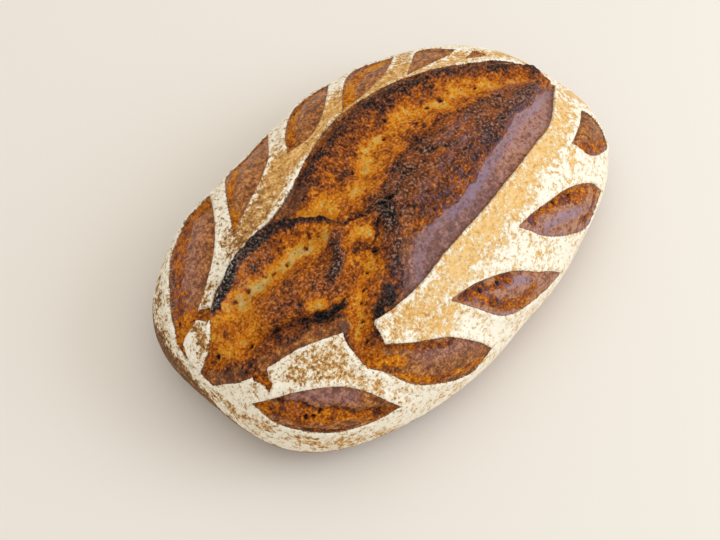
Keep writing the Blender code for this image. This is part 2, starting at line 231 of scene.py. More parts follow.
# Coarse granules, whose crests get a painted grey highlight
GRAINY = (
    (1.0, 15.0, ((-12, -12), (14, -8), (40, -8), (66, -9), (94, -9), (112, -8))),
    (0.6, 10.0, STROKES["bulge"][-1]),
    (1.0, 6.0, ((-15, -8), (-21, -16), (-25, -24), (-29, -33), (-35, -42))),
    (1.0, 5.0, ((-46, -3), (-50, -7), (-54, -13), (-62, -18))),
    (0.3, 6.0, ((18, 44), (-2, 40), (-20, 33), (-34, 28))),
    (0.5, 4.0, ((-104, 24), (-90, 25), (-76, 24))),
)
# Torn dough on the leaves: rise, how much darker, half width, line
LEAF_STROKES = (
    (-1.4, -0.03, 9.5, ((-79, 82), (-92, 80), (-104, 73), (-115, 64), (-128, 50), (-137, 38), (-144, 28),
                        (-148, 12))),
    (-0.6, 0.12, 3.0, ((-114, 70), (-122, 63), (-129, 54), (-138, 44))),
    (0.0, -0.04, 5.0, ((-150, 30), (-140, 32), (-130, 30))),
    (-1.4, -0.12, 5.5, ((-12, 101), (-30, 98), (-47, 86), (-61, 73), (-73, 60), (-81, 46))),
    (-1.0, -0.04, 6.5, ((26, 96), (10, 92), (-5, 82), (-17, 67))),
    (-1.0, -0.12, 6.0, ((76, 80), (59, 78), (44, 72), (31, 65), (20, 57))),
    (-1.4, 0.00, 4.0, ((104, -57), (113, -60), (126, -63), (144, -62))),
    (-1.8, 0.05, 4.6, ((45, -69), (54, -69), (65, -71), (79, -75), (93, -79))),
    (-1.2, 0.05, 3.8, ((106, -85), (103, -91), (95, -94), (81, -92))),
    (-2.0, 0.09, 4.0, ((-19, -77), (-14, -79), (-6, -82), (3, -85), (12, -88))),
    (-1.4, 0.05, 4.6, ((-10, -87), (-4, -94), (3, -102), (15, -107), (23, -105))),
    # This narrow deep groove is darker as painted shade
    (-2.6, 0.14, 1.8, ((-76, -62), (-71, -67), (-65, -73), (-59, -79), (-50, -85), (-40, -92))),
    (-0.8, -0.06, 3.2, ((-86, -66), (-82, -75), (-77, -83), (-71, -92), (-62, -101), (-49, -110),
                        (-34, -117))),
    (-1.0, -0.08, 4.4, ((-82, -58), (-81, -64), (-78, -70), (-72, -76))),
    # This narrow deep groove is darker as painted shade
    (-2.6, 0.22, 1.7, ((-134, -42), (-127, -52), (-121, -60), (-115, -68), (-109, -77), (-99, -87))),
    (-0.8, 0.02, 4.8, ((-145, -32), (-139, -44), (-131, -55), (-123, -66), (-114, -77), (-103, -88),
                       (-93, -95))),
    (0.4, 0.12, 3.0, ((-148, -40), (-144, -52), (-139, -60), (-131, -72), (-123, -81))),
)
TEAR_PATCHY = 0.55  # how much noise breaks these lines up
TEAR_STARTS = 0.40  # share of a line from which the skin is torn, and how much more tears it fully
TEAR_SOFT = 0.25
# Painted sheen, where the skin and torn dough would reflect the sky, painted rosy and lavender: share, half
# width, line
PAINTED_SHEEN = (
    (0.66, 5.5, ((9, -38), (-6, -38), (-16, -39), (-24, -45), (-31, -53))),
    (0.9, 6.0, ((130, -16), (114, -19), (99, -22), (88, -22), (71, -27), (58, -30))),
    (1.0, 5.0, ((58, -30), (47, -32), (35, -36), (23, -38), (9, -38))),
    (0.60, 13.0, ((116, -26), (98, -30), (76, -34))),
    (0.48, 13.0, ((66, -37), (40, -42), (0, -46), (-34, -50))),
    (0.45, 9.0, ((110, -66), (126, -70), (142, -70))),
    (0.50, 12.0, ((40, -74), (70, -84), (104, -92))),
    (0.45, 12.0, ((-20, -80), (10, -94), (46, -110))),
    (0.6, 2.6, ((54, -13), (42, -13), (26, -16), (11, -19), (-2, -22))),
    (0.5, 2.6, ((62, -3), (48, -2), (38, -6))),
    (0.35, 5.0, ((60, -20), (40, -24), (20, -28), (0, -29))),
    (0.30, 10.0, ((-112, 68), (-124, 54), (-134, 40))),
    (1.0, 3.6, ((51, -79), (60, -80), (69, -82), (83, -85))),
    (0.8, 1.8, ((38, -75), (52, -85), (70, -93), (90, -98), (108, -95))),
    (1.0, 3.6, ((8, -90), (16, -93), (23, -97))),
    (0.8, 1.8, ((-24, -78), (-17, -90), (-6, -102), (11, -113), (31, -117))),
    (0.7, 2.0, ((112, -64), (126, -74), (142, -74))),
    (0.5, 6.0, ((-126, -47), (-117, -54), (-110, -62), (-103, -71))),
    (0.38, 14.0, ((-96, 66), (-110, 54), (-122, 42))),
    (0.35, 10.0, ((-60, -84), (-44, -94), (-28, -104))),
    (0.12, 9.0, ((-60, 58), (-40, 74), (-20, 88), (0, 74), (24, 82), (60, 78), (96, 56))),
)
# Grey-white specks on the char: share, half width, line
ASH = (
    (0.95, 2.8, ((-123, 19), (-117, 21), (-110, 23), (-102, 26), (-94, 27))),
    (0.35, 7.0, ((-112, 18), (-102, 21), (-92, 22), (-80, 22))),
    (0.8, 3.0, ((-121, 64), (-128, 55), (-135, 46), (-141, 39))),
    (0.9, 2.6, ((-148, -40), (-144, -50), (-139, -59))),
    (0.5, 4.0, ((-14, -24), (-18, -30), (-22, -36))),
    (0.5, 3.0, ((120, -12), (128, -14), (134, -14))),
)
# Holes of the crumb: place, half width in millimetres
PITS = (
    (66, 21, 1.9), (55, 22, 1.3), (69, 35, 1.4), (41, 12, 1.2), (40, 17, 1.0), (126, 12, 1.2), (-61, 7, 1.5),
    (-110, 15, 1.5), (-75, 8, 1.2), (-101, 14, 1.4), (-84, 10, 1.0), (-123, -9, 1.1), (-140, 3, 1.4),
    (-102, 66, 1.0), (-140, 35, 0.9), (-130, -58, 1.1), (-127, -61, 0.9), (-122, -62, 0.9), (-48, -29, 1.0),
    (-57, -35, 0.9), (-63, -39, 1.0), (-70, -47, 0.9), (-36, -23, 1.3), (20, 24, 1.0), (-10, 20, 1.0),
    (90, 14, 0.9), (29, 32, 0.9), (-88, 12, 0.8), (-52, 6, 0.9), (-105, 12, 0.8), (-77, -56, 0.8),
    (55, -69, 1.0), (66, -72, 1.1), (80, -75, 0.9), (-8, -82, 0.9), (4, -86, 0.9),
)
PIT_DEPTH = 2.8
# How much painted shade darkens a hole
PIT_SHADE = 0.7
PIT_RAGGED = 0.3
# Pale crumb that shows as spots: place, half width
PALE_SPOTS = (
    (-32, 21, 3.0), (-19, 10, 3.0), (-5, 15, 2.6), (4, 25, 2.6), (66, 17, 3.2), (60, 20, 2.4), (-37, 20, 2.4),
    (-24, 15, 2.4), (16, 26, 2.6), (82, 15, 2.4), (-96, 12, 3.0), (-62, 8, 3.0), (-146, 4, 2.4),
    (-132, 10, 2.4),
)
# The step from the burst dough down to the band, and the ridge that goes on from it towards the branch
STEP_LINE = (
    (134, -12), (114, -16), (99, -19), (88, -18), (80, -22), (71, -24), (58, -27), (47, -29), (35, -33),
    (23, -35), (9, -35), (-3, -35), (-13, -33), (-23, -31),
)
RIDGE_LINE = ((-29, -34), (-33, -41), (-38, -46), (-44, -50), (-51, -51), (-59, -52), (-66, -55))
STEP_HEIGHT = 3.4
STEP_WIDTH = 2.2
STEP_REACH = 26.0
STEP_BEGINS = -30.0
STEP_RISES = 20.0
# Cuts: how far they sink, how far their edges lift and over what distance they do
OPENING_SINK = 2.0
OPENING_LIP = 1.9
LEAF_LIP = 1.2
LIP_REACH = 4.5
LEAF_SINK = 2.0
EDGE_WIDTH = 1.5  # distance over which the crust's cut edge falls away
LEAF_EDGE_WIDTH = 2.6
EDGE_START = 0.3  # how far into that distance the edge itself lies, as a share
LEAF_JOIN = 3.0  # distance over which a leaf takes over from the opening
LEAF_REACH = 2.0  # how far outside its edge a leaf still counts
LEAF_CRAGS = 0.75  # height of the crags on a leaf as a share of the opening's
LEAF_CRAGS_FROM = 1.0  # how deep inside a leaf they start, and over what distance they grow
LEAF_CRAGS_OVER = 3.0

# Relief of torn dough in millimetres, and what it does to the tone: painted shade in the dimples, painted
# light on the crags and crumbs, and the bake's random wobble
TORN_WITHIN = 1.5  # distance inside the edge over which the dough turns rough
CRAG_HEIGHT = 1.2
CRAG_SHARPNESS = 2.2
CRUMB_HEIGHT = 0.75
DIMPLE_DEPTH = 1.8
DIMPLE_FROM = 0.32
DENT_HEIGHT = 0.20
FINE_CRAGS = 0.50  # crag height where the dough has no granules, as a share of that on granules
PALE_CRAGS = 0.6  # crag height on pale crumb as a share of that on brown dough
PALE_UP_TO = 0.35  # tone up to which dough counts as pale, and how much more makes it brown
PALE_TO_BROWN = 0.3
DIMPLE_SHADE = 0.26
CRAG_PAINTED_LIGHT = -0.08
CRUMB_PAINTED_LIGHT = -0.07
WOBBLE_TONE = 0.09
TORN_TONE = 0.03

# Flour: how much is missing, half width in millimetres, line
WORN = (
    (0.50, 11, ((-61, -60), (-41, -63), (-14, -61))),
    (0.60, 11, ((-14, -61), (16, -57), (43, -52), (72, -46), (98, -39), (122, -31))),
    (0.46, 8, ((-50, -79), (-35, -80), (-24, -74))),
    (0.30, 7, ((-10, -68), (22, -66), (47, -60))),
    (0.78, 10, ((-83, 38), (-67, 41), (-50, 47), (-32, 54), (-19, 57))),
    (0.95, 10, ((-32, 56), (-10, 57), (12, 61), (28, 61), (50, 56))),
    (0.40, 7, ((-17, 71), (-30, 68), (-38, 56))),
    (0.88, 8, ((29, 58), (50, 57), (66, 54), (80, 50))),
    (0.45, 7, ((73, 62), (89, 70))),
    (0.42, 8, ((-114, -40), (-100, -43), (-91, -46), (-98, -53), (-107, -50))),
    (0.40, 6, ((-99, -58), (-97, -68), (-93, -76))),
    (0.60, 7, ((40, 56), (72, 43), (93, 38), (117, 32), (143, 26), (150, 6))),
    (0.50, 6, ((130, -22), (149, -24), (156, -33))),
    (0.60, 4.5, ((-133, 22), (-135, 16), (-138, 12))),
    (0.55, 4, ((-121, 28), (-115, 32))),
    (0.55, 3, ((100, -57), (94, -62))),
    (0.55, 2, ((31, -62), (34, -65), (36, -70))),
    (0.34, 6, ((-150, -62), (-141, -79), (-128, -96), (-110, -111))),
    (0.38, 5, ((-162, -10), (-161, -28), (-154, -44))),
    (0.35, 5, ((-132, 70), (-146, 54), (-152, 40))),
)
WORN_UNEVEN = 0.25
# More flour on the lifted edges: how much, how far outside the cut, spread
EDGE_FLOUR = 0.22
EDGE_FLOUR_OUTSIDE = 1.2
EDGE_FLOUR_SPREAD = 1.2
# Where the flour ends round the loaf: degrees from +X, fall
FLOUR_ENDS = (
    (0, 1.22), (60, 1.14), (110, 1.06), (148, 0.93), (160, 0.88), (167, 0.84), (177, 0.92), (186, 1.02),
    (195, 1.09), (210, 1.16), (240, 1.25), (300, 1.28), (360, 1.22),
)
FLOUR_END_SOFT = 0.10
FLOUR_END_WOBBLE = 0.05
FLOUR_END_RAGGED = 0.03
# How golden the ground under the flour is: at the -X end, how much more at +X, from where and over what
# length, for each millimetre towards -Y, and what the bare sides lose
WARMTH = 0.46
WARMTH_RISE = 0.38
WARMTH_FROM = -110.0
WARMTH_OVER = 110.0
WARMTH_ACROSS = 0.0026
BARE_BROWN = 0.62

# What the material reads at each point, with its value on the underside
UNDERSIDE = {
    "cut": -20.0, "toast": 0.6, "silk": 0.0, "grain": 0.0,
    "painted_sheen": 0.0, "ash": 0.0, "flour": 0.10, "warmth": 0.3,
}

# Camera, light and floor, in the frame
FLOOR_SIZE = 4.0
FLOOR_COLOUR = (0.75, 0.69, 0.60, 1)
SURROUND_COLOUR = (0.97, 0.965, 0.96, 1)
SURROUND_STRENGTH = 0.84
# Name, azimuth and elevation in degrees, distance and size in metres, power in watts, colour
WINDOWS = (
    ("overhead window", 85, 72, 1.8, 3.0, 12.5, (1.0, 0.97, 0.94)),
    ("side window", 42, 34, 1.5, 0.9, 10, (0.68, 0.81, 1.0)),
)
VIEW_AZIMUTH = -46.0
VIEW_ELEVATION = 62.0
VIEW_DISTANCE = 0.70
VIEW_LENS = 60.0
VIEW_AIM = (-0.0350, -0.0080, 0.0393)


def flowing(values, count):
    """Catmull-Rom curve through even stations, read at count even places."""
    values = np.asarray(values, float)
    at = np.linspace(0, len(values) - 1, count)
    k = np.minimum(at.astype(int), len(values) - 2)
    u = at - k
    before = values[np.maximum(k - 1, 0)]
    start, end = values[k], values[k + 1]
    after = values[np.minimum(k + 2, len(values) - 1)]
    bend = 2 * before - 5 * start + 4 * end - after
    turn = 3 * (start - end) + after - before
    return 0.5 * (2 * start + (end - before) * u + bend * u**2 + turn * u**3)


def chord_frame(start, end):
    """Length of a chord, the direction along it and the direction to its left."""
    span = np.subtract(end, start).astype(float)
    length = np.hypot(*span)
    along = span / length
    return length, along, np.array((-along[1], along[0]))


def cut_outline(cut):
    """Closed outline of a cut: out along its left edge and back along its right one."""
    start, end, left, right = cut[:4]
    length, along, across = chord_frame(start, end)
    chord = np.array(start) + np.outer(np.linspace(0, length, OUTLINE_POINTS), along)
    out = chord + np.outer(flowing(left, OUTLINE_POINTS), across)
    back = chord + np.outer(flowing(right, OUTLINE_POINTS), across)
    return np.vstack((out, back[::-1]))


def line_distance(points, line, closed=False):
    """Distance from each point to a line of straight stretches."""
    line = np.asarray(line, float)
    starts = line if closed else line[:-1]
    ends = np.roll(line, -1, axis=0) if closed else line[1:]
    nearest = np.full(len(points), np.inf)
    for start, end in zip(starts, ends):
        span = end - start
        share = np.clip((points - start) @ span / max(span @ span, 1e-9), 0, 1)
        gap = points - start - share[:, None] * span
        nearest = np.minimum(nearest, np.hypot(gap[:, 0], gap[:, 1]))
    return nearest


def beside(points, line):
    """Distance from a line, positive on its left, the share of the way along it, and the direction left."""
    line = np.asarray(line, float)
    steps = np.hypot(*np.diff(line, axis=0).T)
    begun = np.concatenate(((0,), np.cumsum(steps)))
    nearest = np.full(len(points), np.inf)
    signed, along, left = np.zeros(len(points)), np.zeros(len(points)), np.zeros((len(points), 2))
    for start, end, length, before in zip(line[:-1], line[1:], steps, begun):
        way = (end - start) / length
        normal = np.array((-way[1], way[0]))
        share = np.clip((points - start) @ way, 0, length)
        gap = points - start - share[:, None] * way
        far = np.hypot(gap[:, 0], gap[:, 1])
        closer = far < nearest
        nearest = np.where(closer, far, nearest)
        signed = np.where(closer, far * np.where(gap @ normal < 0, -1, 1), signed)
        along = np.where(closer, (before + share) / begun[-1], along)
        left[closer] = normal
    return signed, along, left


def depth_inside(points, outline):
    """Signed distance to a closed outline, positive inside it."""
    inside = np.zeros(len(points), bool)
    for start, end in zip(outline, np.roll(outline, -1, axis=0)):
        if start[1] == end[1]:
            continue
        crosses = (start[1] > points[:, 1]) != (end[1] > points[:, 1])
        share = (points[:, 1] - start[1]) / (end[1] - start[1])
        inside ^= crosses & (points[:, 0] < start[0] + share * (end[0] - start[0]))
    return line_distance(points, outline, closed=True) * np.where(inside, 1, -1)


def across_cut(points, cut):
    """Place along a cut, 0 to 1, and across it, 1 at the left edge and -1 at the right."""
    start, end, left, right = cut[:4]
    length, along, across = chord_frame(start, end)
    offset = points - np.array(start)
    at = np.clip(offset @ along / length, 0, 1)
    side = offset @ across
    stations = np.linspace(0, 1, OUTLINE_POINTS)
    left_edge = np.interp(at, stations, flowing(left, OUTLINE_POINTS))
    right_edge = np.interp(at, stations, flowing(right, OUTLINE_POINTS))
    half = np.maximum((left_edge - right_edge) / 2, 1.0)
    return at, (side - (left_edge + right_edge) / 2) / half


def ease(value):
    """Smooth step from 0 to 1."""
    value = np.clip(value, 0, 1)
    return value * value * (3 - 2 * value)


def near(points, line, half_width, edge=2):
    """1 on a line, falling off with the distance from it; a higher edge makes it flat-topped."""
    return np.exp(-((line_distance(points, line) / half_width) ** edge))


def strongest(points, marks, edge, least=0.0):
    """What the strongest of several marks gives each point; a mark is a share, a half width and a line."""
    result = np.full(len(points), least)
    for share, half_width, line in marks:
        result = np.maximum(result, share * near(points, line, half_width, edge))
    return result


def spot(points, a, b):
    """Distance of each point from one place."""
    return np.hypot(points[:, 0] - a, points[:, 1] - b)


def scatter(x, y, z, seed):
    """A fixed random number from 0 to 1 for each whole-number place, by mixing its bits."""
    mixed = (x * 374761393 + y * 668265263 + z * 1440662683 + seed * 1274126177) & 0xFFFFFFFF
    mixed = ((mixed ^ (mixed >> 13)) * 1103515245) & 0xFFFFFFFF
    mixed = ((mixed ^ (mixed >> 16)) * 668265263) & 0xFFFFFFFF
    return (mixed ^ (mixed >> 15)) / 0xFFFFFFFF


def cloud(place, size, seed):
    """Smooth noise from -1 to 1: random values on a lattice of that size, eased between its corners."""
    at = place / size
    cell = np.floor(at).astype(np.int64)
    share = at - cell
    share = share**3 * (share * (share * 6 - 15) + 10)
    total = np.zeros(len(place))
    for corner in np.ndindex(2, 2, 2):
        weight = np.prod(np.where(np.array(corner) == 1, share, 1 - share), axis=1)
        x, y, z = (cell + corner).T
        total += weight * scatter(x, y, z, seed)
    return total * 2 - 1


def clouds(place, size, seed, octaves=3, gain=0.5):
    """Several layers of noise, each half the size of the one before."""
    total = np.zeros(len(place))
    reach = 0.0
    for layer in range(octaves):
        total += gain**layer * cloud(place, size / 2**layer, seed + layer)
        reach += gain**layer
    return total / reach


def plan_radius(theta):
    """Distance of the widest line from the axis: a squared-off ellipse with slow waves."""
    cosine = np.abs(np.cos(theta) / (LOAF_LENGTH / 2)) ** PLAN_SQUARENESS
    sine = np.abs(np.sin(theta) / (LOAF_WIDTH / 2)) ** PLAN_SQUARENESS
    waves = 1.0
    for count, cos_share, sin_share in PLAN_WAVES:
        waves = waves + cos_share * np.cos(count * theta) + sin_share * np.sin(count * theta)
    return (cosine + sine) ** (-1 / PLAN_SQUARENESS) * waves


def body_point(theta, fall):
    """Point of the smooth body: fall runs from 0 at the crown to 1 on the widest line and 2 at the foot."""
    upper = np.clip(fall, 0, 1) * np.pi / 2
    lower = np.clip(fall - 1, 0, 1) * np.pi / 2
    power = 2 / DOME_SQUARENESS
    share = np.where(fall <= 1, np.sin(upper) ** power, FOOT_SHARE + (1 - FOOT_SHARE) * np.cos(lower))
    dome = BELLY_LEVEL + (LOAF_HEIGHT - BELLY_LEVEL) * np.maximum(np.cos(upper), 0) ** power
    height = np.where(fall <= 1, dome, BELLY_LEVEL * (1 - np.sin(lower)))
    radius = plan_radius(theta) * share
    return np.stack((radius * np.cos(theta), radius * np.sin(theta), height), axis=-1)


def walked(theta, fall):
    """Distance along the crust from the crown to each point."""
    far = np.zeros(np.broadcast(theta, fall).shape)
    last = body_point(theta, fall * 0)
    for step in np.linspace(0, 1, WALK_STEPS)[1:]:
        here = body_point(theta, fall * step)
        far += np.linalg.norm(here - last, axis=-1)
        last = here
    return far


def body_normal(theta, fall):
    """Outward direction of the smooth body, from how it changes with its two parameters."""
    round_it = body_point(theta + PROBE, fall) - body_point(theta - PROBE, fall)
    down_it = body_point(theta, np.minimum(fall + PROBE, 2)) - body_point(theta, np.maximum(fall - PROBE, 0))
    normal = np.cross(down_it, round_it)
    normal[fall < PROBE] = (0, 0, 1)
    return normal / np.linalg.norm(normal, axis=1, keepdims=True)


def grid_to_disc(u, v):
    """Square grid laid on a disc without squeezing: angle and share of the way from the centre to the rim."""
    wide = np.abs(u) > np.abs(v)
    share = np.where(wide, u, v)
    safe_u = np.where(u == 0, 1, u)
    safe_v = np.where(v == 0, 1, v)
    theta = np.where(wide, np.pi / 4 * v / safe_u, np.pi / 2 - np.pi / 4 * u / safe_v)
    return np.where(share < 0, theta + np.pi, theta), np.abs(share)


def even_fall(share):
    """Turns an even share of the walk down a mean meridian into the body's fall parameter."""
    fall = np.linspace(0, 2, FALL_STATIONS)
    far = walked(np.full(len(fall), np.pi / 4), fall)
    return np.interp(share, far / far[-1], fall)


class Skin:
    """Everything known about the crust at each point: where it is and what each feature does there."""

    def __init__(self, theta, fall):
        self.theta = theta
        self.fall = fall
        self.place = body_point(theta, fall) / METRES
        far = walked(theta, fall) / METRES
        self.points = np.stack((far * np.cos(theta), far * np.sin(theta)), axis=1)
        count = len(fall)
        self.wobble = clouds(self.place, *WOBBLE)
        self.ragged = clouds(self.place, *RAGGED)
        slow = np.stack((self.wobble, clouds(self.place, *WOBBLE_ACROSS)), axis=1)
        quick = np.stack((self.ragged, clouds(self.place, *RAGGED_ACROSS)), axis=1)
        self.bent = self.points + BEND_SLOW * slow + BEND_QUICK * quick
        self.drifted = self.points + DRIFT_SLOW * slow + DRIFT_QUICK * quick
        self.kept = depth_inside(self.points, cut_outline(ISLAND)) + ISLAND_RAGGED * self.ragged
        self.lip = np.full(count, OPENING_LIP)
        self.edge = np.full(count, EDGE_WIDTH)
        self.base = np.zeros(count)
        self.shift = np.zeros((count, 2))
        self.toast = np.full(count, BAKE)
        self.crags = np.ones(count)
        # Where a painted sheen stands for the sky mirrored in the surface
        self.painted_sheen = strongest(self.drifted, PAINTED_SHEEN, edge=2)
        self.ash = strongest(self.bent, ASH, edge=4)
        self.grain = strongest(self.bent, GRAINY, edge=4, least=PLAIN_GRAIN)
        self.silk = strongest(self.bent, SMOOTH, edge=4)

    def swell(self):
        """Low, slow unevenness of the whole crust: a sum of sine waves."""
        a, b = self.points.T
        for rise, along, across, phase in SWELLS:
            self.base += rise * np.sin((a * along + b * across) / SWELL_SPAN + phase)

    def open_crown(self):
        """The torn opening: sunk below its lifted edges, with ridges, hollows and the burst dough's step."""
        depth = depth_inside(self.points, cut_outline(OPENING))
        for cut in (BRANCH, FRONT_TEAR, CURL_TEAR, SPUR):
            depth = np.maximum(depth, depth_inside(self.points, cut_outline(cut)))
        depth = np.minimum(depth, -self.kept) + OPENING_RAGGED * self.ragged
        height = np.full(len(depth), -OPENING_SINK)
        for rise, darker, half_width, edge, line in STROKES.values():
            share = near(self.bent, line, half_width, edge)
            height += rise * share
            self.toast += darker * share
        for a, b, size in PALE_SPOTS:
            self.toast -= SPOT_PALER * np.exp(-((spot(self.bent, a, b) / size) ** 2))
        burst, band = self.burst_dough(self.drifted)
        height += STEP_HEIGHT * burst
        self.silk = np.maximum(self.silk, band)
        band_tone = BAND_TONE - BAND_PALER * ease((self.points[:, 0] - BAND_LIT_FROM) / BAND_LIT_OVER)
        self.toast += band * (band_tone - self.toast)
        height += self.raise_ear()
        self.relief = ease(depth / EDGE_WIDTH + EDGE_START) * height
        self.cut = depth

    def raise_ear(self):
        """The ear: a charred flap, steep outside and slow inside, whose edge leans out."""
        away, along, left = beside(self.points + EAR_RAGGED * self.ragged[:, None], EAR)
        side = np.where(away > 0, EAR_OUTER, EAR_INNER)
        arch = np.sin(np.pi * np.clip(along, 0.0, EAR_TAIL))
        crest = np.exp(-((away / side) ** 2)) * (EAR_END_SHARE + (1 - EAR_END_SHARE) * arch)
        rim = np.exp(-(((away + EAR_RIM_INWARDS) / EAR_RIM) ** 4))
        self.shift += (EAR_LEAN * rim * crest)[:, None] * left
        half = EAR_BLACK + EAR_BLACK_MORE * np.sin(np.pi * along)
        off = np.abs(away + EAR_BLACK_INWARDS + EAR_BLACK_RAGGED * self.ragged)
        core = 1 - ease((off - half) / EAR_BLACK_SOFT + 0.5)
        self.toast += core * (EAR_TONE - self.toast)
        self.silk *= 1 - core
        return EAR_HEIGHT * crest

    def burst_dough(self, points):
        """The raised burst dough of the long half, and the smooth band between its step and the near edge."""
        a, b = points.T
        line = np.array(STEP_LINE + RIDGE_LINE, float)
        level = np.interp(a, line[::-1, 0], line[::-1, 1])
        away = line_distance(points, STEP_LINE)
        along = ease((a - STEP_BEGINS) / STEP_RISES)
        burst = ease(away / STEP_WIDTH) * np.exp(-((away / STEP_REACH) ** 2)) * (b > level) * along
        band = ease((level - b + BAND_RAGGED * self.ragged) / BAND_SOFT + 0.5)
        return burst, band * ease((a - BAND_BEGINS) / BAND_RISES)

    def open_leaf(self, leaf):
        """A leaf cut: a low belly of stretched skin, a half ellipse across, below a lifted edge."""
        belly, tone = leaf[4:]
        depth = depth_inside(self.points, cut_outline(leaf)) + LEAF_RAGGED * self.ragged
        depth = np.minimum(depth, -self.kept)
        at, side = across_cut(self.points, leaf)
        inside = ease(depth / LEAF_EDGE_WIDTH + EDGE_START)
        swell = belly * np.sqrt(np.clip(1 - side**2, 0, 1)) * np.sin(np.pi * at) ** 0.5
        share = ease((depth - self.cut) / LEAF_JOIN + 0.5) * (depth > -LEAF_REACH)
        self.relief += share * (inside * (swell - LEAF_SINK) - self.relief)
        self.toast += share * (tone - self.toast)
        self.silk += share * (1 - self.silk)
        self.grain *= 1 - share
        self.crags *= 1 - share * (1 - LEAF_CRAGS * ease((depth - LEAF_CRAGS_FROM) / LEAF_CRAGS_OVER))
        self.lip = np.where(depth > self.cut, LEAF_LIP, self.lip)
        self.edge = np.where(depth > self.cut, LEAF_EDGE_WIDTH, self.edge)
        self.cut = np.maximum(self.cut, depth)
        return share

    def tear_leaves(self, leafy):
        """Torn dough on the leaves, rough and ragged, and the grooves along it."""
        inside = leafy * ease(self.cut / EDGE_WIDTH)
        patchy = TEAR_PATCHY * clouds(self.place, *PATCHES)
        for rise, darker, half_width, line in LEAF_STROKES:
            share = near(self.bent, line, half_width)
            torn = ease((share + patchy - TEAR_STARTS) / TEAR_SOFT) * inside
            self.silk *= 1 - torn
            self.toast += torn * (BAKE + darker - self.toast)
            self.relief += rise * share * inside

    def pit(self):
        """Holes of the crumb: small deep dimples, with painted shade inside."""
        for a, b, size in PITS:
            away = spot(self.points, a, b) + PIT_RAGGED * self.ragged
            hole = np.exp(-((away / size) ** 4))
            self.relief -= PIT_DEPTH * hole
            self.toast += PIT_SHADE * hole
            self.silk *= 1 - hole

    def dust(self):
        """Flour cover: worn through in patches, thicker on the lifted edges, thinning towards the foot."""
        lost = strongest(self.bent, WORN, edge=3) * (1 + WORN_UNEVEN * self.wobble)
        outside = np.minimum(self.cut, 0)
        more = EDGE_FLOUR * np.exp(-((outside + EDGE_FLOUR_OUTSIDE) ** 2) / EDGE_FLOUR_SPREAD)
        turn = np.degrees(self.theta) % 360
        ends = np.interp(turn, *zip(*FLOUR_ENDS))
        past = self.fall - ends + FLOUR_END_WOBBLE * self.wobble + FLOUR_END_RAGGED * self.ragged
        bare = ease(past / FLOUR_END_SOFT + 0.5)
        self.flour = np.clip((1 - lost + more) * (1 - bare), 0, 1)
        a, b = self.points.T
        golden = WARMTH + WARMTH_RISE * ease((a - WARMTH_FROM) / WARMTH_OVER) - WARMTH_ACROSS * b
        self.warmth = golden * (1 - BARE_BROWN * bare)

    def roughen(self):
        """Torn dough is craggy at a few millimetres; the skin and the crust stay almost smooth."""
        torn = ease(self.cut / TORN_WITHIN) * (1 - self.silk)
        crag = 1 - np.abs(clouds(self.place, *CRAGS)) * CRAG_SHARPNESS
        crumb = clouds(self.place, *CRUMB)
        dimple = np.clip(-crumb - DIMPLE_FROM, 0, 1)
        brown = ease((self.toast - PALE_UP_TO) / PALE_TO_BROWN)
        coarse = (FINE_CRAGS + (1 - FINE_CRAGS) * self.grain) * (PALE_CRAGS + (1 - PALE_CRAGS) * brown)
        rough = CRAG_HEIGHT * crag * coarse + CRUMB_HEIGHT * crumb - DIMPLE_DEPTH * dimple
        # Darker in the dimples as painted shade, paler on the crags and crumbs as painted light, with a
        # random wobble of the bake
        tone = DIMPLE_SHADE * dimple + CRAG_PAINTED_LIGHT * crag + CRUMB_PAINTED_LIGHT * crumb + WOBBLE_TONE * self.wobble
        self.relief += torn * self.crags * rough
        self.toast += torn * (tone + TORN_TONE)
        self.relief += (1 - torn) * DENT_HEIGHT * clouds(self.place, *DENTS)

    def raised(self):
        """How far the crust stands off the smooth body, in millimetres, lifted edges included."""
        outside = np.minimum(self.cut, 0)
        fallen = ease(self.cut / self.edge + EDGE_START)
        return self.base + self.relief + self.lip * np.exp(-((outside / LIP_REACH) ** 2)) * (1 - fallen)


def boundary_loop(rows, columns):
    """Indices of a grid's edge points, once round."""
    row, column = np.arange(rows), np.arange(columns)
    return np.concatenate((
        column[:-1],
        row[:-1] * columns + columns - 1,
        (rows - 1) * columns + column[:0:-1],
        row[:0:-1] * columns,
    ))


def quads_between(first, second):
    """Faces between two closed rings of the same length."""
    return np.stack((first, np.roll(first, -1), np.roll(second, -1), second), axis=1)


def make_mesh(name, places, quads, triangles):
    """Mesh object from whole arrays: points in metres, four-cornered faces and three-cornered ones."""
    corners = np.concatenate((quads.ravel(), triangles.ravel()))
    sizes = np.concatenate((np.full(len(quads), 4), np.full(len(triangles), 3)))
    mesh = bpy.data.meshes.new(name)
    mesh.vertices.add(len(places))
    mesh.vertices.foreach_set("co", places.astype(np.float32).ravel())
    mesh.loops.add(len(corners))
    mesh.loops.foreach_set("vertex_index", corners.astype(np.int32))
    mesh.polygons.add(len(sizes))
    mesh.polygons.foreach_set("loop_start", (np.cumsum(sizes) - sizes).astype(np.int32))
    mesh.polygons.foreach_set("use_smooth", np.ones(len(sizes), bool))
    mesh.update(calc_edges=True)
    mesh.validate()
    piece = bpy.data.objects.new(name, mesh)
    bpy.context.scene.collection.objects.link(piece)
    return piece


def add_measure(piece, name, values):
    """Stores one number for each point as an attribute that the material reads."""
    layer = piece.data.attributes.new(name, "FLOAT", "POINT")
    layer.data.foreach_set("value", values.astype(np.float32))


def finer_middle(count, spacing):
    """Stations from -1 to 1, drawn together in the middle: x times the spacing plus its cube for the rest."""
    even = np.linspace(-1, 1, count + 1)
    return spacing * even + (1 - spacing) * even**3


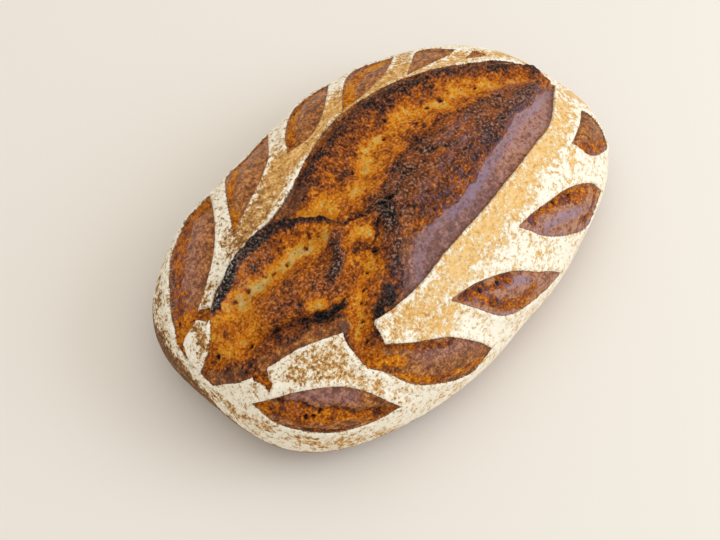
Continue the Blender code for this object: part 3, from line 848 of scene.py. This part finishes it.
def crust_skin(theta, fall):
    """The crust with every feature worked out."""
    skin = Skin(theta, fall)
    skin.swell()
    skin.open_crown()
    leafy = np.zeros(len(fall))
    for leaf in LEAVES.values():
        leafy = np.maximum(leafy, skin.open_leaf(leaf))
    skin.tear_leaves(leafy)
    skin.pit()
    skin.dust()
    skin.roughen()
    return skin


def pushed_out(theta, fall, skin):
    """Points of the crust: the body's, raised along its normals and shifted along the surface at the ear."""
    calm = ease((2 - fall) / FOOT_CALM)
    normal = body_normal(theta, fall)
    push = normal * (skin.raised() * calm)[:, None]
    for axis in (0, 1):
        along = np.eye(3)[axis] - normal * normal[:, axis:axis + 1]
        push += along * skin.shift[:, axis:axis + 1]
    return body_point(theta, fall) + push * METRES


def close_underside(place, rim):
    """The flat underside: rings drawn in from the foot's edge, closed in the middle by triangles."""
    places = [place]
    rings = []
    previous = rim
    total = len(place)
    for ring in FOOT_RINGS:
        here = np.arange(total, total + len(rim))
        places.append(place[rim] * (ring, ring, 0))
        rings.append(quads_between(previous, here)[:, ::-1])
        previous = here
        total += len(rim)
    places.append(np.zeros((1, 3)))
    hub = np.stack((np.roll(previous, -1), previous, np.full(len(rim), total)), axis=1)
    return np.vstack(places), np.vstack(rings), hub


def set_on_frame(place):
    """Moves the points so that their box is centred on the solid's and stands at the same height."""
    low, high = (np.array(corner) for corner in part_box("loaf"))
    middle = (place.min(axis=0) + place.max(axis=0)) / 2
    place[:, :2] += ((low + high) / 2 - middle)[:2]
    place[:, 2] += low[2] - place[:, 2].min()
    return place


def build_crust():
    """The loaf's whole surface: a grid laid over the body, pushed along its normals, on a flat underside."""
    u, v = (plane.ravel() for plane in np.meshgrid(
        finer_middle(CELLS_ALONG, FINER_ALONG), finer_middle(CELLS_ACROSS, FINER_ACROSS)
    ))
    theta, share = grid_to_disc(u, v)
    fall = even_fall(share)
    skin = crust_skin(theta, fall)
    place = pushed_out(theta, fall, skin)
    rows, columns = CELLS_ACROSS + 1, CELLS_ALONG + 1
    index = np.arange(rows * columns).reshape(rows, columns)
    faces = np.stack((index[:-1, :-1], index[:-1, 1:], index[1:, 1:], index[1:, :-1]), axis=-1)
    rim = boundary_loop(rows, columns)
    place[rim, 2] = 0
    place, rings, hub = close_underside(place, rim)
    piece = make_mesh("crust", set_on_frame(place), np.vstack((faces.reshape(-1, 4), rings)), hub)
    below = len(place) - len(theta)
    for name, under in UNDERSIDE.items():
        add_measure(piece, name, np.concatenate((getattr(skin, name), np.full(below, under))))
    return piece


class Graph:
    """A material's or a group's nodes, with short calls for the ones used here."""

    def __init__(self, tree):
        self.tree = tree
        self.nodes = tree.nodes

    def link(self, value, socket):
        """Feeds a socket from another socket, or sets it to a plain value."""
        if isinstance(value, bpy.types.NodeSocket):
            self.tree.links.new(value, socket)
        elif isinstance(value, (tuple, list)) and len(socket.default_value) == 4 and len(value) == 3:
            socket.default_value = (*value, 1.0)
        else:
            socket.default_value = value

    def math(self, operation, *values):
        """One sum on sockets or plain values."""
        node = self.nodes.new("ShaderNodeMath")
        node.operation = operation
        for value, socket in zip(values, node.inputs):
            self.link(value, socket)
        return node.outputs[0]

    def total(self, *parts):
        """Sum of parts; a (value, middle, amount) part adds the value's swing about its middle, scaled."""
        result = None
        for part in parts:
            if isinstance(part, tuple):
                value, middle, amount = part
                part = self.math("MULTIPLY", self.math("SUBTRACT", value, middle), amount)
            result = part if result is None else self.math("ADD", result, part)
        return result

    def mix(self, share, first, second):
        """Mixes two colours."""
        node = self.nodes.new("ShaderNodeMix")
        node.data_type = "RGBA"
        factor = next(socket for socket in node.inputs if socket.identifier == "Factor_Float")
        colours = [socket for socket in node.inputs if socket.type == "RGBA"]
        self.link(share, factor)
        self.link(first, colours[0])
        self.link(second, colours[1])
        return next(socket for socket in node.outputs if socket.type == "RGBA")

    def fit(self, value, low, high, to_low=0.0, to_high=1.0, smooth=True):
        """Carries a range of values onto another one, held at its ends."""
        node = self.nodes.new("ShaderNodeMapRange")
        node.interpolation_type = "SMOOTHSTEP" if smooth else "LINEAR"
        names = ("Value", "From Min", "From Max", "To Min", "To Max")
        for amount, name in zip((value, low, high, to_low, to_high), names):
            self.link(amount, node.inputs[name])
        return node.outputs["Result"]

    def attribute(self, name):
        """A number stored at each point of the mesh."""
        node = self.nodes.new("ShaderNodeAttribute")
        node.attribute_name = name
        return node.outputs["Fac"]

    def object_place(self):
        """Object coordinates in millimetres."""
        where = self.nodes.new("ShaderNodeTexCoord")
        scale = self.nodes.new("ShaderNodeVectorMath")
        scale.operation = "SCALE"
        self.link(where.outputs["Object"], scale.inputs[0])
        scale.inputs["Scale"].default_value = 1 / METRES
        return scale.outputs[0]

    def noise(self, place, size, detail=2.0, roughness=0.5, distortion=0.0):
        """Noise whose main lumps are about size millimetres."""
        node = self.nodes.new("ShaderNodeTexNoise")
        self.link(place, node.inputs["Vector"])
        node.inputs["Scale"].default_value = 1 / size
        node.inputs["Detail"].default_value = detail
        node.inputs["Roughness"].default_value = roughness
        node.inputs["Distortion"].default_value = distortion
        return node.outputs["Fac"]

    def cells(self, place, size):
        """Distance to the nearest of scattered points that lie about size millimetres apart."""
        node = self.nodes.new("ShaderNodeTexVoronoi")
        self.link(place, node.inputs["Vector"])
        node.inputs["Scale"].default_value = 1 / size
        return node.outputs["Distance"]

    def ramp(self, value, stops):
        """Colour along a scale of stops: (place, colour)."""
        node = self.nodes.new("ShaderNodeValToRGB")
        band = node.color_ramp
        while len(band.elements) < len(stops):
            band.elements.new(1.0)
        for element, (at, colour) in zip(band.elements, stops):
            element.position = at
            element.color = (*colour, 1.0)
        self.link(value, node.inputs[0])
        return node.outputs["Color"]

    def bump(self, height, strength, distance):
        """Normal of a relief whose height of 1 stands that distance, in metres, off the surface."""
        node = self.nodes.new("ShaderNodeBump")
        node.inputs["Strength"].default_value = strength
        node.inputs["Distance"].default_value = distance
        self.link(height, node.inputs["Height"])
        return node.outputs["Normal"]

    def use(self, group, **values):
        """Places a group and feeds its inputs."""
        node = self.nodes.new("ShaderNodeGroup")
        node.node_tree = group
        for name, value in values.items():
            self.link(value, node.inputs[name])
        return node.outputs


def new_group(name, inputs, outputs):
    """Node group with named sockets; inputs and outputs are (name, kind) pairs."""
    tree = bpy.data.node_groups.new(name, "ShaderNodeTree")
    for label, kind in inputs:
        tree.interface.new_socket(label, in_out="INPUT", socket_type=f"NodeSocket{kind}")
    for label, kind in outputs:
        tree.interface.new_socket(label, in_out="OUTPUT", socket_type=f"NodeSocket{kind}")
    graph = Graph(tree)
    given = tree.nodes.new("NodeGroupInput").outputs
    taken = tree.nodes.new("NodeGroupOutput").inputs
    return tree, graph, given, taken


# Baked dough from pale crumb to char, in linear light
BAKED = (
    (0.00, (0.78, 0.56, 0.20)),
    (0.10, (0.88, 0.48, 0.070)),
    (0.22, (0.92, 0.37, 0.010)),
    (0.34, (0.84, 0.250, 0.003)),
    (0.46, (0.62, 0.155, 0.002)),
    (0.57, (0.37, 0.084, 0.005)),
    (0.68, (0.22, 0.055, 0.010)),
    (0.79, (0.105, 0.029, 0.011)),
    (0.89, (0.032, 0.014, 0.009)),
    (1.00, (0.006, 0.005, 0.004)),
)
GROUND = (
    (0.0, (0.09, 0.036, 0.012)),
    (0.3, (0.24, 0.105, 0.032)),
    (0.6, (0.56, 0.280, 0.068)),
    (1.0, (0.82, 0.520, 0.190)),
)
SKIN_TONES = (
    (0.0, (0.075, 0.022, 0.006)),
    (0.35, (0.200, 0.056, 0.006)),
    (0.65, (0.380, 0.130, 0.018)),
    (1.0, (0.560, 0.240, 0.060)),
)
# Dark of a cut's rim: char and painted shade
CHAR_AND_SHADE = (0.010, 0.007, 0.006)
ASH_GREY = (0.56, 0.51, 0.45)
# Painted highlight on the crests of the granules
GREY_CREST_HIGHLIGHT = (0.50, 0.30, 0.20)
# Painted sheen colours for the sky mirrored in the skin and dough
ROSY_SHEEN = (0.40, 0.205, 0.170)
LAVENDER_SHEEN = (0.21, 0.165, 0.245)
RUST = (0.19, 0.040, 0.005)
CREAM = (0.92, 0.85, 0.69)
GOLDEN_DUST = (0.78, 0.52, 0.22)
CRACK_BROWN = (0.36, 0.17, 0.055)
# Painted shade in the holes of pale crumb
HOLE_SHADE = (0.055, 0.034, 0.010)

# Noise of the finish: size of its lumps in millimetres, detail, roughness, distortion
DOUGH_LUMPS = (11.0, 5.0, 0.60, 0.2)
DOUGH_CRUMBS = (2.8, 3.0, 0.65, 0.2)
DOUGH_FIBRES = (1.6, 4.0, 0.72, 0.1)
CHAR_SPECKS = (1.3, 3.0, 0.7)
FLOUR_FINE = (1.5, 4.0, 0.75, 0.1)
FLOUR_FLAKES = (3.4, 4.0, 0.70, 0.3)
FLOUR_BROAD = (15.0, 3.0, 0.6)
GROUND_CRACKS = (1.9, 3.0, 0.75, 0.4)
SKIN_MOTTLE = (5.0, 4.0, 0.66, 0.2)
SKIN_GRAIN = (1.7, 3.0, 0.75, 0.1)
RUST_SPOTS = (2.4, 4.0, 0.7, 0.1)
EDGE_WANDER = (1.1, 3.0, 0.65)
GRANULE_SIZE = 1.9  # millimetres
HOLE_SIZE = 2.7
# Roughness, sheen and relief of the finish
ROUGH_DOUGH = 0.58
ROUGH_SKIN = 0.42
ROUGH_CRUST = 0.62
ROUGH_FLOUR = 0.95
SKIN_COAT = 0.22
COAT_ROUGHNESS = 0.38
SPECULAR_LEVEL = 0.13
RIM_CHAR_AND_SHADE = 0.42  # how much the rim of a cut darkens: char and painted shade under the lifted edge
SKIN_RELIEF = 0.30  # relief of the skin and the flour as a share of the dough's
FLOUR_RELIEF = 0.40
FINE_RELIEF = 0.0008  # metres


def torn_dough_group():
    """Torn dough: its tone wanders with lumps, fibres and granules; painted shade where they lie low and in
    its holes, painted grey highlights on its grains and a painted lavender sheen.
    """
    tree, graph, given, taken = new_group(
        "torn dough",
        (("Place", "Vector"), ("Toast", "Float"), ("Grain", "Float"), ("Ash", "Float"), ("Bloom", "Float")),
        (("Color", "Color"), ("Height", "Float")),
    )
    lumps = graph.noise(given["Place"], *DOUGH_LUMPS)
    crumbs = graph.noise(given["Place"], *DOUGH_CRUMBS)
    fibres = graph.fit(graph.noise(given["Place"], *DOUGH_FIBRES), 0.30, 0.70)
    granule = graph.cells(given["Place"], GRANULE_SIZE)
    # Fibres and granules also darken the tone where the relief is low: painted shade
    swing = graph.total((lumps, 0.5, 0.95), (crumbs, 0.5, 0.60), (fibres, 0.5, -0.38), (granule, 0.45, 0.22))
    even_char = graph.fit(given["Toast"], 0.70, 0.90, 1.0, 0.40)
    even_grain = graph.fit(given["Grain"], 0.4, 1.0, 1.0, 0.60)
    swing = graph.math("MULTIPLY", swing, graph.math("MULTIPLY", even_char, even_grain))
    tone = graph.math("ADD", given["Toast"], swing)
    colour = graph.ramp(tone, BAKED)
    # Painted grey highlight on the crests of the fibres where there are granules
    crest = graph.math("MULTIPLY", graph.fit(fibres, 0.50, 0.95), given["Grain"])
    colour = graph.mix(graph.math("MULTIPLY", crest, 0.80), colour, GREY_CREST_HIGHLIGHT)
    # Painted lavender sheen in flecks, for the sky mirrored in the dough
    gleam = graph.math("MULTIPLY", graph.fit(crumbs, 0.44, 0.60), given["Bloom"])
    colour = graph.mix(graph.math("MULTIPLY", gleam, 0.85), colour, LAVENDER_SHEEN)
    # Painted shade in the holes where the dough is pale
    hole = graph.fit(graph.cells(given["Place"], HOLE_SIZE), 0.08, 0.20, 1.0, 0.0)
    pale = graph.fit(tone, 0.06, 0.24, 0.85, 0.0)
    colour = graph.mix(graph.math("MULTIPLY", hole, pale), colour, HOLE_SHADE)
    speck = graph.fit(graph.noise(given["Place"], *CHAR_SPECKS), 0.54, 0.63)
    colour = graph.mix(graph.math("MULTIPLY", speck, given["Ash"]), colour, ASH_GREY)
    graph.link(colour, taken["Color"])
    height = graph.total(fibres, (granule, 0.45, -0.9), (crumbs, 0.5, 1.9), (hole, 0.0, -0.8))
    graph.link(height, taken["Height"])
    return tree


def flour_group():
    """Flour on crust: white flecks and cream dust over a golden, finely cracked ground."""
    tree, graph, given, taken = new_group(
        "flour dusting",
        (("Place", "Vector"), ("Cover", "Float"), ("Warmth", "Float")),
        (("Color", "Color"), ("Mask", "Float"), ("Height", "Float")),
    )
    fine = graph.noise(given["Place"], *FLOUR_FINE)
    flakes = graph.noise(given["Place"], *FLOUR_FLAKES)
    broad = graph.noise(given["Place"], *FLOUR_BROAD)
    ground = graph.ramp(graph.total(given["Warmth"], (flakes, 0.5, 1.6), (fine, 0.5, 1.6)), GROUND)
    crack = graph.fit(graph.noise(given["Place"], *GROUND_CRACKS), 0.35, 0.41, 1.0, 0.0)
    cover = graph.total(given["Cover"], (broad, 0.5, 0.9), (flakes, 0.5, 1.2))
    pattern = graph.total(fine, (flakes, 0.5, 0.70))
    level = graph.fit(cover, 0.0, 1.1, 0.79, 0.33, smooth=False)
    above = graph.math("SUBTRACT", pattern, level)
    dust = graph.fit(above, -0.12, 0.02)
    white = graph.fit(above, -0.05, 0.12)
    powder = graph.mix(white, GOLDEN_DUST, CREAM)
    colour = graph.mix(graph.math("MULTIPLY", dust, 0.92), ground, powder)
    browner = graph.fit(given["Warmth"], 0.45, 0.85, 0.55, 0.0)
    cracked = graph.total(graph.fit(cover, 0.55, 1.15, 0.65, 0.12), browner)
    open_ground = graph.math("MULTIPLY", crack, cracked)
    graph.link(graph.mix(open_ground, colour, CRACK_BROWN), taken["Color"])
    graph.link(dust, taken["Mask"])
    graph.link(graph.total(fine, flakes, (white, 0.0, 0.35), (open_ground, 0.0, -0.2)), taken["Height"])
    return tree


def smooth_skin_group():
    """The smooth skin that stretched as the cuts opened: brown, with a painted rosy and lavender sheen where
    it would mirror the sky.
    """
    tree, graph, given, taken = new_group(
        "stretched skin",
        (("Place", "Vector"), ("Tone", "Float"), ("Bloom", "Float")),
        (("Color", "Color"), ("Height", "Float")),
    )
    mottle = graph.noise(given["Place"], *SKIN_MOTTLE)
    grain = graph.noise(given["Place"], *SKIN_GRAIN)
    tone = graph.total(given["Tone"], (mottle, 0.5, 2.2), (grain, 0.5, 2.8), -0.02)
    colour = graph.ramp(tone, SKIN_TONES)
    # Painted sheen: rosy, then lavender, where the skin would reflect the sky
    uneven = graph.total((mottle, 0.0, 1.8), (grain, 0.0, 1.2), -0.5)
    painted_sheen = graph.math("MULTIPLY", given["Bloom"], uneven)
    colour = graph.mix(graph.fit(painted_sheen, 0.0, 0.9, 0.0, 0.45), colour, ROSY_SHEEN)
    colour = graph.mix(graph.fit(painted_sheen, 0.10, 1.20, 0.0, 0.66), colour, LAVENDER_SHEEN)
    rust = graph.fit(graph.noise(given["Place"], *RUST_SPOTS), 0.54, 0.62)
    graph.link(graph.mix(graph.math("MULTIPLY", rust, 0.75), colour, RUST), taken["Color"])
    graph.link(graph.total(grain, (mottle, 0.5, 1.5), (rust, 0.0, -0.5)), taken["Height"])
    return tree


def crust_material():
    """The loaf's surface: floured crust outside the cuts, and torn dough or stretched skin inside them."""
    material = bpy.data.materials.new("crust")
    material.use_nodes = True
    graph = Graph(material.node_tree)
    shader = graph.nodes["Principled BSDF"]
    place = graph.object_place()
    cut, toast, silk, grain, painted_sheen, ash, flour, warmth = (graph.attribute(name) for name in UNDERSIDE)
    wander = graph.noise(place, *EDGE_WANDER)
    opened = graph.fit(graph.total(cut, (wander, 0.5, 1.4)), -0.15, 0.20)
    smooth = graph.fit(graph.total(silk, (wander, 0.5, 0.9)), 0.36, 0.64)

    groups = bpy.data.node_groups
    torn = graph.use(groups["torn dough"], Place=place, Toast=toast, Grain=grain, Ash=ash, Bloom=painted_sheen)
    skin_tone = graph.fit(toast, 0.35, 0.95, 0.95, 0.0, smooth=False)
    skin = graph.use(groups["stretched skin"], Place=place, Tone=skin_tone, Bloom=painted_sheen)
    dusted = graph.use(groups["flour dusting"], Place=place, Cover=flour, Warmth=warmth)

    inside = graph.mix(smooth, torn["Color"], skin["Color"])
    # The rim just inside a cut goes dark: char and painted shade under the lifted edge
    rim = graph.math("MULTIPLY", graph.fit(cut, 0.15, 0.75, 1.0, 0.0), RIM_CHAR_AND_SHADE)
    inside = graph.mix(rim, inside, CHAR_AND_SHADE)
    graph.link(graph.mix(opened, dusted["Color"], inside), shader.inputs["Base Color"])

    shut = graph.math("SUBTRACT", 1.0, opened)
    rough_inside = graph.fit(smooth, 0.0, 1.0, ROUGH_DOUGH, ROUGH_SKIN, smooth=False)
    rough_crust = graph.fit(dusted["Mask"], 0.0, 1.0, ROUGH_CRUST, ROUGH_FLOUR, smooth=False)
    roughness = graph.math("ADD", graph.math("MULTIPLY", rough_inside, opened),
                           graph.math("MULTIPLY", rough_crust, shut))
    graph.link(roughness, shader.inputs["Roughness"])
    coat = graph.math("MULTIPLY", graph.math("MULTIPLY", smooth, opened), SKIN_COAT)
    graph.link(coat, shader.inputs["Coat Weight"])
    shader.inputs["Coat Roughness"].default_value = COAT_ROUGHNESS
    shader.inputs["Specular IOR Level"].default_value = SPECULAR_LEVEL

    torn_height = graph.math("MULTIPLY", torn["Height"], graph.math("SUBTRACT", 1.0, smooth))
    skin_height = graph.math("MULTIPLY", graph.math("MULTIPLY", skin["Height"], SKIN_RELIEF), smooth)
    inner = graph.math("MULTIPLY", graph.math("ADD", torn_height, skin_height), opened)
    outer = graph.math("MULTIPLY", graph.math("MULTIPLY", dusted["Height"], FLOUR_RELIEF), shut)
    graph.link(graph.bump(graph.math("ADD", inner, outer), 1.0, FINE_RELIEF), shader.inputs["Normal"])
    return material


def back_of(azimuth, elevation):
    """Unit vector from the loaf towards something at that azimuth and elevation; azimuth 0 is towards -Y."""
    turn, rise = math.radians(azimuth), math.radians(elevation)
    return Vector((math.sin(turn) * math.cos(rise), -math.cos(turn) * math.cos(rise), math.sin(rise)))


def place_camera():
    """Camera that looks down at the loaf from the photo's side."""
    camera = bpy.data.objects.new("camera", bpy.data.cameras.new("camera"))
    back = back_of(VIEW_AZIMUTH, VIEW_ELEVATION)
    camera.location = Vector(VIEW_AIM) + back * VIEW_DISTANCE
    camera.rotation_euler = back.to_track_quat("Z", "Y").to_euler()
    camera.data.lens = VIEW_LENS
    bpy.context.scene.collection.objects.link(camera)
    bpy.context.scene.camera = camera


def soft_light(name, azimuth, elevation, distance, size, power, colour):
    """Square area light that looks at the loaf."""
    lamp = bpy.data.lights.new(name, "AREA")
    lamp.size = size
    lamp.energy = power
    lamp.color = colour
    light = bpy.data.objects.new(name, lamp)
    towards = back_of(azimuth, elevation)
    light.location = towards * distance
    light.rotation_euler = towards.to_track_quat("Z", "Y").to_euler()
    bpy.context.scene.collection.objects.link(light)


def set_stage():
    """Plain pale floor, an even pale surround and two soft windows."""
    bpy.ops.mesh.primitive_plane_add(size=FLOOR_SIZE)
    floor = bpy.context.object
    floor.name = "floor"
    material = bpy.data.materials.new("floor")
    material.use_nodes = True
    shader = material.node_tree.nodes["Principled BSDF"]
    shader.inputs["Base Color"].default_value = FLOOR_COLOUR
    shader.inputs["Roughness"].default_value = 0.9
    shader.inputs["Specular IOR Level"].default_value = 0.1
    floor.data.materials.append(material)
    world = bpy.data.worlds.new("surround")
    bpy.context.scene.world = world
    world.use_nodes = True
    background = world.node_tree.nodes["Background"]
    background.inputs["Color"].default_value = SURROUND_COLOUR
    background.inputs["Strength"].default_value = SURROUND_STRENGTH
    for window in WINDOWS:
        soft_light(*window)
    bpy.context.scene.view_settings.view_transform = "Standard"


def main():
    """Builds the crust with its material and the stage."""
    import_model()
    for make in (torn_dough_group, flour_group, smooth_skin_group):
        make()
    crust = build_crust()
    crust.data.materials.append(crust_material())
    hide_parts("loaf")
    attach(crust, "root")
    set_stage()
    place_camera()


main()
